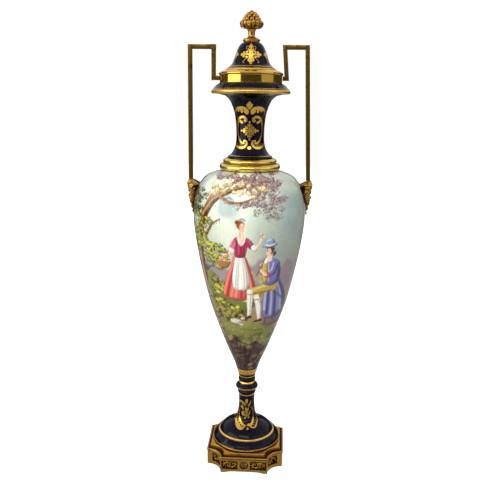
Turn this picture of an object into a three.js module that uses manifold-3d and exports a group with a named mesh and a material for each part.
// A covered mantel urn: porcelain foot, body, neck and lid on a gilt bronze plinth,
// with a bronze collar, rim band, finial, two squared handles and two mask mounts.
// Millimetres, +Z up. The origin is the middle of the plinth's underside, and the
// painted front faces -Y.

import * as THREE from 'three';
import { mergeVertices } from 'three/addons/utils/BufferGeometryUtils.js';
import Module from 'manifold-3d';

const wasm = await Module();
wasm.setup();

// ---------------------------------------------------------------- driving sizes

const GAP = 0.3;                 // clearance between pieces that touch
const SIDES = 28;                // flats round a turned porcelain piece
const SMALL_SIDES = 24;          // flats round a smaller turned piece

const PLINTH_HALF = 49.4;        // half the width over the plinth's ledge
const PLINTH_CORNER = 18.8;      // radius of the hollow quarter-round corners
const WALL_INSET = 0.8;          // how far the plinth's wall stands in from the ledge
const TABLE_INSET = 4.6;         // how far its table stands in from the ledge
const LEDGE_LOW = 19.6;
const LEDGE_TOP = 21.4;
const TABLE_TOP = 25.3;
const FOOT_PAD = 7;              // length of each pad on a straight face
const ARCH = 1.8;                // height of the hollow between the pads
const PANEL = { width: 19.9, height: 10.7, offset: 18.2, level: 10.8, depth: 1.4 };
const ROSETTE_RADIUS = 5.1;

const STEM_TOP = 116.5;          // the porcelain foot ends here, under the body
const BODY_LOW = STEM_TOP + GAP;
const BODY_TOP = 379.4;
const COLLAR_LOW = BODY_TOP + GAP;
const COLLAR_TOP = 393.6;
const NECK_LOW = COLLAR_TOP + GAP;
const NECK_TOP = 479.6;
const BAND_LOW = NECK_TOP + GAP;
const BAND_TOP = 493.8;
const LID_LOW = BAND_TOP + GAP;
const LID_TOP = 525.1;
const FINIAL_LOW = LID_TOP + GAP;
const URN_TOP = 560;

const WALL = 4;                  // porcelain wall thickness
const BAND_RADIUS = 36.2;        // outside of the bronze rim band

const BAR = 5;                   // square section of the handles
const HANDLE_TOP = 520;          // middle of the handles' top bar
const HANDLE_FOOT = 485.5;       // middle of the short bar that meets the rim band
const HANDLE_LOW = 368.2;        // where the long bar meets the mask
// Distances from the axis: the right handle was bent a little inwards at its top.
const LEFT = { outerTop: 71, outerLow: 71.3, innerTop: 43.6, innerLow: 43.6 };
const RIGHT = { outerTop: 64.4, outerLow: 70.2, innerTop: 38.6, innerLow: 41.4 };

const MASK_TOP = HANDLE_LOW - GAP;
const CHIN = 339;                // chin of the mask
const MASK_REACH = 76.4;         // furthest point of the mask from the axis

const bronze = { color: 0x7a5c1e, roughness: 0.38, metalness: 1.0 };
const darkBronze = { color: 0x5a4212, roughness: 0.45, metalness: 1.0 };
const cobalt = { color: 0x0c0a1e, roughness: 0.12, metalness: 0.0 };
const painted = { color: 0xc9d2bb, roughness: 0.18, metalness: 0.0 };

// ---------------------------------------------------------------- helpers

const root = new THREE.Group();

function addPiece(name, geometry, finish) {
  const mesh = new THREE.Mesh(geometry, new THREE.MeshStandardMaterial(finish));
  mesh.name = name;
  root.add(mesh);
}

// A smooth stretch of a turned outline through [radius, height] points.
function smooth(points, steps) {
  const curve = new THREE.SplineCurve(points.map(([r, z]) => new THREE.Vector2(r, z)));
  return curve.getPoints(steps).map((p) => [p.x, p.y]);
}

// A round bead or cove: an arc about [radius, height], angles in degrees.
function arc(r, z, size, from, to, steps) {
  const points = [];
  for (let i = 0; i <= steps; i += 1) {
    const a = THREE.MathUtils.degToRad(from + ((to - from) * i) / steps);
    points.push([r + size * Math.cos(a), z + size * Math.sin(a)]);
  }
  return points;
}

// Turns an outline about +Z. The outline runs on the axis or closes on itself, and
// LatheGeometry turns about +Y, so the result is stood up.
function turned(outline, sides) {
  const points = outline.map(([r, z]) => new THREE.Vector2(r, z));
  const geometry = new THREE.LatheGeometry(points, sides);
  geometry.rotateX(Math.PI / 2);
  return closed(geometry);
}

// Keeps positions only and merges the seam, so that the mesh is one closed body.
function closed(geometry) {
  geometry.deleteAttribute('normal');
  geometry.deleteAttribute('uv');
  return mergeVertices(geometry, 1e-4);
}

function solid(geometry) {
  const merged = closed(geometry);
  return new wasm.Manifold(new wasm.Mesh({
    numProp: 3,
    vertProperties: new Float32Array(merged.attributes.position.array),
    triVerts: new Uint32Array(merged.index.array),
  }));
}

function fromSolid(manifold) {
  const mesh = manifold.getMesh();
  const geometry = new THREE.BufferGeometry();
  geometry.setAttribute('position', new THREE.BufferAttribute(mesh.vertProperties, 3));
  geometry.setIndex(new THREE.BufferAttribute(mesh.triVerts, 1));
  return geometry;
}

function prism(shape, low, high, curveSegments = 3) {
  const geometry = new THREE.ExtrudeGeometry(shape, {
    depth: high - low,
    bevelEnabled: false,
    curveSegments,
  });
  geometry.translate(0, 0, low);
  return geometry;
}

// Radius of an outline at a height, read between its points.
function radiusAt(outline, z) {
  for (let i = 1; i < outline.length; i += 1) {
    const [r0, z0] = outline[i - 1];
    const [r1, z1] = outline[i];
    if ((z0 - z) * (z1 - z) <= 0 && z0 !== z1) {
      return r0 + ((r1 - r0) * (z - z0)) / (z1 - z0);
    }
  }
  return 0;
}

// ---------------------------------------------------------------- plinth

// A square whose four corners are hollow quarter-rounds, of one radius in every layer.
function plinthShape(inset) {
  const half = PLINTH_HALF - inset;
  const radius = PLINTH_CORNER;
  const shape = new THREE.Shape();
  shape.moveTo(radius - half, -half);
  for (let side = 0; side < 4; side += 1) {
    const turn = (side * Math.PI) / 2;
    const cx = Math.cos(turn) * half + Math.sin(turn) * half;
    const cy = Math.sin(turn) * half - Math.cos(turn) * half;
    shape.absarc(cx, cy, radius, turn + Math.PI, turn + Math.PI / 2, true);
  }
  return shape;
}

function rectangle(cx, cy, width, height) {
  const shape = new THREE.Shape();
  shape.moveTo(cx - width / 2, cy - height / 2);
  shape.lineTo(cx + width / 2, cy - height / 2);
  shape.lineTo(cx + width / 2, cy + height / 2);
  shape.lineTo(cx - width / 2, cy + height / 2);
  return shape;
}

// An S-shaped leaf scroll: a tapering ribbon along two half turns.
function scrollShape(cx, cy, hand) {
  const size = 3.4;
  const steps = 3;
  const ribs = [];
  for (let i = 0; i <= 2 * steps; i += 1) {
    const half = i < steps ? -1 : 1;
    const along = i < steps ? i / steps : (i - steps) / steps;
    const a = half < 0 ? Math.PI * (1 - along) : Math.PI * (1 + along);
    const thick = 0.7 + 0.6 * Math.sin((Math.PI * i) / (2 * steps));
    const mid = [cx + hand * size * (half + Math.cos(a)), cy + size * Math.sin(a)];
    const out = [hand * Math.cos(a) * thick * -half, Math.sin(a) * thick * -half];
    ribs.push({ mid, out });
  }
  const shape = new THREE.Shape();
  ribs.forEach(({ mid, out }, i) => {
    const point = [mid[0] + out[0], mid[1] + out[1]];
    if (i === 0) shape.moveTo(...point);
    else shape.lineTo(...point);
  });
  ribs.reverse().forEach(({ mid, out }) => shape.lineTo(mid[0] - out[0], mid[1] - out[1]));
  return shape;
}

function rosetteShape(petals, outer, inner) {
  const shape = new THREE.Shape();
  for (let i = 0; i < 2 * petals; i += 1) {
    const radius = i % 2 === 0 ? outer : inner;
    const a = (Math.PI * i) / petals;
    const point = [radius * Math.cos(a), PANEL.level + radius * Math.sin(a)];
    if (i === 0) shape.moveTo(...point);
    else shape.lineTo(...point);
  }
  return shape;
}

// Stands a drawing of a face upright on one of the plinth's four walls.
function onFace(shape, side, deep, proud, curveSegments) {
  const geometry = prism(shape, 0, deep + proud, curveSegments);
  geometry.rotateX(Math.PI / 2);
  geometry.translate(0, deep - (PLINTH_HALF - WALL_INSET), 0);
  geometry.rotateZ((side * Math.PI) / 2);
  return solid(geometry);
}

function cornerPanel(side) {
  const low = PANEL.level - PANEL.height / 2;
  const radius = PLINTH_CORNER;
  const reach = THREE.MathUtils.degToRad(26);
  const shape = new THREE.Shape();
  const middle = 0.75 * Math.PI;
  shape.absarc(0, 0, radius + PANEL.depth, middle - reach, middle + reach, false);
  shape.absarc(0, 0, radius - 1, middle + reach, middle - reach, true);
  const geometry = prism(shape, low, low + PANEL.height, 3);
  geometry.translate(PLINTH_HALF - WALL_INSET, WALL_INSET - PLINTH_HALF, 0);
  geometry.rotateZ((side * Math.PI) / 2);
  return solid(geometry);
}

function plinth() {
  const span = 2 * (PLINTH_HALF - PLINTH_CORNER - FOOT_PAD);
  const through = 2 * PLINTH_HALF + 2;
  let block = solid(prism(plinthShape(WALL_INSET), 0, LEDGE_LOW + 0.5));
  block = block.add(solid(prism(plinthShape(0), LEDGE_LOW, LEDGE_TOP)));
  block = block.add(solid(prism(plinthShape(TABLE_INSET), LEDGE_LOW + 0.5, TABLE_TOP)));
  block = block.subtract(solid(prism(rectangle(0, 0, span, through), -1, ARCH)));
  block = block.subtract(solid(prism(rectangle(0, 0, through, span), -1, ARCH)));
  for (let side = 0; side < 4; side += 1) {
    for (const hand of [-1, 1]) {
      const x = hand * PANEL.offset;
      const recess = rectangle(x, PANEL.level, PANEL.width, PANEL.height);
      block = block.subtract(onFace(recess, side, PANEL.depth, 1, 1));
      const scroll = scrollShape(x, PANEL.level, hand);
      block = block.add(onFace(scroll, side, PANEL.depth + 0.2, -0.3, 1));
    }
    const well = rosetteShape(6, ROSETTE_RADIUS, ROSETTE_RADIUS);
    block = block.subtract(onFace(well, side, PANEL.depth, 1, 1));
    const flower = rosetteShape(6, ROSETTE_RADIUS - 0.7, ROSETTE_RADIUS - 2.7);
    block = block.add(onFace(flower, side, PANEL.depth + 0.2, -0.3, 1));
    block = block.subtract(cornerPanel(side));
  }
  return fromSolid(block);
}

// ---------------------------------------------------------------- porcelain

// Foot: a low dome with a step, and a stem with its two beads.
function foot() {
  const outline = [
    [0, TABLE_TOP + GAP],
    [42.8, TABLE_TOP + GAP],
    [43.5, 28.4],
    [42.2, 31.4],
    [37.4, 36.3],
    [35.2, 37],
    ...smooth([[35, 37.6], [30.5, 43.2], [24, 47.4], [17.6, 51.2], [13.2, 56.8], [10.9, 66],
      [10.2, 78], [10.5, 88.4]], 10),
    ...arc(9.2, 91.2, 2.6, -50, 50, 2),
    ...arc(10.8, 98.6, 3.6, -70, 70, 4),
    [10.5, 105],
    ...arc(8.1, 108.8, 3, -60, 60, 2),
    [10.6, 113],
    [11.4, STEM_TOP],
    [0, STEM_TOP],
  ];
  return turned(outline, SMALL_SIDES);
}

const BODY_OUTSIDE = [
  [11.2, BODY_LOW],
  [12, 118.5],
  [13, 121.5],
  ...smooth([[13.9, 125.5], [17.4, 135.5], [26.6, 157], [37.6, 186], [47.5, 215], [55.8, 248],
    [62.4, 280], [66.4, 306], [67.8, 324], [67, 340], [63, 357], [55, 370.4], [44, 376.6],
    [33.5, BODY_TOP]], 16),
];

// Body: a tall inverted pear, hollow, with its mouth under the collar.
function body() {
  const mouth = 28;
  const inside = [
    [mouth, BODY_TOP],
    [mouth + 1, BODY_TOP - WALL],
    ...smooth([[42, 372.4], [52.5, 366.6], [59.2, 355], [63, 339], [63.8, 324], [62.4, 306],
      [58.4, 280], [51.6, 248], [43.2, 215], [33.2, 186], [22, 157], [12.6, 137]], 8),
    [0, 131],
  ];
  return turned([[0, BODY_LOW], ...BODY_OUTSIDE, ...inside], SIDES);
}

// Neck: a trumpet with a wide gilt lip and a sloping shoulder above it, open all through.
function neck() {
  const outline = [
    [22.6, NECK_LOW],
    [26.6, NECK_LOW],
    ...smooth([[22.4, 398.6], [18.6, 405], [16.8, 413], [16.5, 423], [17.1, 434], [18.6, 445],
      [21.2, 453.5], [24.6, 460.6], [30, 465.8]], 7),
    [38, 467.6],
    [45.4, 468],
    [46.2, 469.4],
    [46.2, 470.6],
    [45.2, 472],
    [43, 474.3],
    [40.4, 477.3],
    [36.8, NECK_TOP],
    [31.4, NECK_TOP],
    [36.6, 475.2],
    [40.4, 471],
    ...smooth([[28, 469.4], [20.8, 463], [17, 454], [14.4, 445], [13, 434], [12.5, 423],
      [12.8, 413], [14.6, 404.5]], 5),
    [22.6, NECK_LOW],
  ];
  return turned(outline, SIDES);
}

// Lid: a bell-shaped dome with a wide gilt foot, hollow and open below.
function lid() {
  const outline = [
    [0, 521],
    [6, 520.4],
    [10, 517.6],
    [13.4, 512],
    [16, 505],
    [18.8, 499.6],
    [23.6, LID_LOW],
    [30, LID_LOW],
    [29.6, 494.8],
    ...smooth([[25.8, 497.8], [22.4, 501], [20.1, 506], [17.9, 512.5], [15.2, 519], [12.2, 523.2],
      [9, LID_TOP]], 7),
    [0, LID_TOP],
  ];
  return turned(outline, SMALL_SIDES);
}

// ---------------------------------------------------------------- bronze

// Collar between body and neck: a small bead over a large one.
function collar() {
  const outline = [
    [24, COLLAR_LOW],
    ...arc(32.4, 383.6, 3.9, -75, 80, 4),
    ...arc(29.4, 390.4, 2.6, -55, 75, 3),
    [28.6, COLLAR_TOP],
    [24, COLLAR_TOP],
    [24, COLLAR_LOW],
  ];
  return turned(outline, SMALL_SIDES);
}

// Rim band: a plain upright band with a moulded bezel that carries the lid.
function rimBand() {
  const inner = 32.6;
  const seat = 26.4;
  const outline = [
    [inner, BAND_LOW],
    [BAND_RADIUS, BAND_LOW],
    [BAND_RADIUS, 488.6],
    [37.4, 489.4],
    [37.6, 490.4],
    [36.4, 491.6],
    [34, 492.9],
    [31.4, BAND_TOP],
    [seat, BAND_TOP],
    [seat, 491],
    [inner, 489],
    [inner, BAND_LOW],
  ];
  return turned(outline, SMALL_SIDES);
}

// Finial: a disc and waisted stem, a calyx of curling leaves and a cone of berries.
function finial() {
  const leaves = 8;
  const berriesInRow = 6;
  const berryRows = 3;
  const calyx = { low: 539.6, high: 549 };
  const outline = [
    [0, FINIAL_LOW],
    [9.4, FINIAL_LOW],
    [9.9, 527.8],
    [8.6, 529.2],
    [4.6, 530.4],
    [3.8, 532.5],
    [4, 536.5],
    [5.2, 539.2],
    [9.4, 539.9],
    [13, 541.6],
    [13.6, 544],
    [12.6, 546.6],
    [9.6, 549],
    [8.8, 551.4],
    [7.6, 553.4],
    [6.6, 555.8],
    [4.6, 557.6],
    [2.6, 559.4],
    [0, URN_TOP],
  ];
  const geometry = turned(outline, SMALL_SIDES);
  const position = geometry.attributes.position;
  for (let i = 0; i < position.count; i += 1) {
    const x = position.getX(i);
    const y = position.getY(i);
    const z = position.getZ(i);
    const around = Math.atan2(y, x);
    let swell = 1;
    if (z > calyx.low && z < calyx.high) {
      swell = 0.94 + 0.06 * Math.cos(leaves * around);
    } else if (z >= calyx.high && z < URN_TOP - 0.1) {
      const row = Math.floor((berryRows * (z - calyx.high)) / (URN_TOP - calyx.high));
      swell = 0.95 + 0.09 * Math.cos(berriesInRow * around + row * Math.PI);
    }
    position.setX(i, x * swell);
    position.setY(i, y * swell);
  }
  return geometry;
}

// Handle: a square bar bent in one plane, drawn as its outline round a centre line.
function handle(sizes, hand) {
  const line = [
    [sizes.outerLow, HANDLE_LOW],
    [sizes.outerTop, HANDLE_TOP],
    [sizes.innerTop, HANDLE_TOP],
    [sizes.innerLow, HANDLE_FOOT],
    [BAND_RADIUS + GAP + 0.1, HANDLE_FOOT],
  ].map(([x, z]) => new THREE.Vector2(hand * x, z));
  const sideways = (from, to) => {
    const along = to.clone().sub(from).normalize();
    return new THREE.Vector2(-along.y, along.x);
  };
  const edge = (side) => line.map((point, i) => {
    const before = i > 0 ? sideways(line[i - 1], point) : sideways(point, line[i + 1]);
    const after = i < line.length - 1 ? sideways(point, line[i + 1]) : before;
    const mitre = before.clone().add(after).normalize();
    const reach = (side * BAR) / 2 / mitre.dot(after);
    return point.clone().add(mitre.multiplyScalar(reach));
  });
  const shape = new THREE.Shape([...edge(1), ...edge(-1).reverse()]);
  const geometry = prism(shape, -BAR / 2, BAR / 2);
  geometry.rotateX(Math.PI / 2);
  return closed(geometry);
}

// The mask's outline, as [height over the chin, half the width, reach on the middle line].
const MASK_OUTLINE = [
  [-12.5, 1.2, 69.2],
  [-11, 2.2, 71],
  [-9, 2, 70.4],
  [-7.4, 2.6, 70.6],
  [-5.4, 3.4, 72.2],
  [-3, 3.4, 71.4],
  [-1, 4.6, 72.2],
  [1, 6, 73.6],
  [3, 7.2, 73.3],
  [4.6, 8, 73.9],
  [6, 8.6, 73.4],
  [9, 9.3, 73.8],
  [12, 9.8, 73],
  [14, 10.4, 74.8],
  [17, 11.4, 74.4],
  [20, 12.2, 75.4],
  [23, 12.5, 75.8],
  [26, 11.6, 75],
  [28, 9.4, 74.2],
  [MASK_TOP - CHIN, 7, 73.9],
];

// What stands proud of the mask's rounded front: nose, brow, eyes, cheeks and curls.
function maskFeature(across, up) {
  const bump = (x, y, wide, tall) => Math.exp(-((across - x) ** 2) / wide - ((up - y) ** 2) / tall);
  const side = Math.abs(across);
  const bridge = bump(0, 9.4, 1.6, 9) * 1.8;
  const cheeks = Math.exp(-((side - 4.6) ** 2) / 4 - ((up - 8) ** 2) / 6);
  const sockets = Math.exp(-((side - 3.4) ** 2) / 2.4 - ((up - 12) ** 2) / 1.4);
  const lips = bump(0, 4.6, 5, 0.8) * 0.6;
  const locks = up > 15.5 ? Math.cos(across * 1.5 + up) * Math.cos(up * 0.95) : 0;
  return bridge + 0.7 * cheeks - sockets + lips + 0.7 * locks;
}

// Joins two rows of points, with as many triangles as the longer row needs.
function stitch(index, lower, upper, flip) {
  let i = 0;
  let j = 0;
  while (i + 1 < lower.length || j + 1 < upper.length) {
    const nextLower = (i + 1) / (lower.length - 1);
    const nextUpper = (j + 1) / (upper.length - 1);
    const stepLower = j + 1 >= upper.length || (i + 1 < lower.length && nextLower <= nextUpper);
    const face = stepLower ? [lower[i], lower[i + 1], upper[j]] : [lower[i], upper[j + 1], upper[j]];
    index.push(...(flip ? face.reverse() : face));
    if (stepLower) i += 1;
    else j += 1;
  }
}

// Mask: a bearded head in relief that fits the body's shoulder, with curls above and
// two beads below. Its back follows the body a small gap away.
function mask(hand) {
  const frontCells = 10;
  const backCells = 4;
  const fit = 0.5;
  const rim = 1;
  const backTop = 364.4;
  const low = CHIN + MASK_OUTLINE[0][0];
  const position = [];
  const point = (x, y, z) => position.push(hand * x, hand * y, z) / 3 - 1;
  const rows = MASK_OUTLINE.map(([up, half, reach]) => {
    const z = CHIN + up;
    const backZ = low + ((z - low) * (backTop - low)) / (MASK_TOP - low);
    const bodyRadius = radiusAt(BODY_OUTSIDE, backZ) + fit;
    const front = [];
    const back = [];
    for (let i = 0; i <= frontCells; i += 1) {
      const s = (2 * i) / frontCells - 1;
      const y = s * half;
      const edge = Math.sqrt(bodyRadius * bodyRadius - y * y) + rim;
      const crown = Math.pow(1 - s * s, 0.5);
      const proud = (reach - bodyRadius - rim + maskFeature(y, up)) * crown;
      front.push(point(Math.min(edge + Math.max(0, proud), MASK_REACH), y, z));
    }
    for (let i = 0; i <= backCells; i += 1) {
      const y = ((2 * i) / backCells - 1) * half;
      back.push(point(Math.sqrt(bodyRadius * bodyRadius - y * y), y, backZ));
    }
    return { front, back };
  });
  const index = [];
  for (let k = 0; k + 1 < rows.length; k += 1) {
    const here = rows[k];
    const next = rows[k + 1];
    stitch(index, here.front, next.front, false);
    stitch(index, here.back, next.back, true);
    stitch(index, [here.back[0], here.front[0]], [next.back[0], next.front[0]], false);
    stitch(index, [here.front.at(-1), here.back.at(-1)], [next.front.at(-1), next.back.at(-1)], false);
  }
  stitch(index, rows[0].back, rows[0].front, false);
  stitch(index, rows.at(-1).front, rows.at(-1).back, false);
  const geometry = new THREE.BufferGeometry();
  geometry.setAttribute('position', new THREE.Float32BufferAttribute(position, 3));
  geometry.setIndex(index);
  return geometry;
}

// ---------------------------------------------------------------- the urn

addPiece('plinth', plinth(), bronze);
addPiece('foot', foot(), cobalt);
addPiece('body', body(), painted);
addPiece('neck_collar', collar(), bronze);
addPiece('neck', neck(), cobalt);
addPiece('rim_band', rimBand(), bronze);
addPiece('lid', lid(), cobalt);
addPiece('finial', finial(), bronze);
addPiece('handle_left', handle(LEFT, -1), darkBronze);
addPiece('handle_right', handle(RIGHT, 1), darkBronze);
addPiece('mask_left', mask(-1), bronze);
addPiece('mask_right', mask(1), bronze);

export default root;
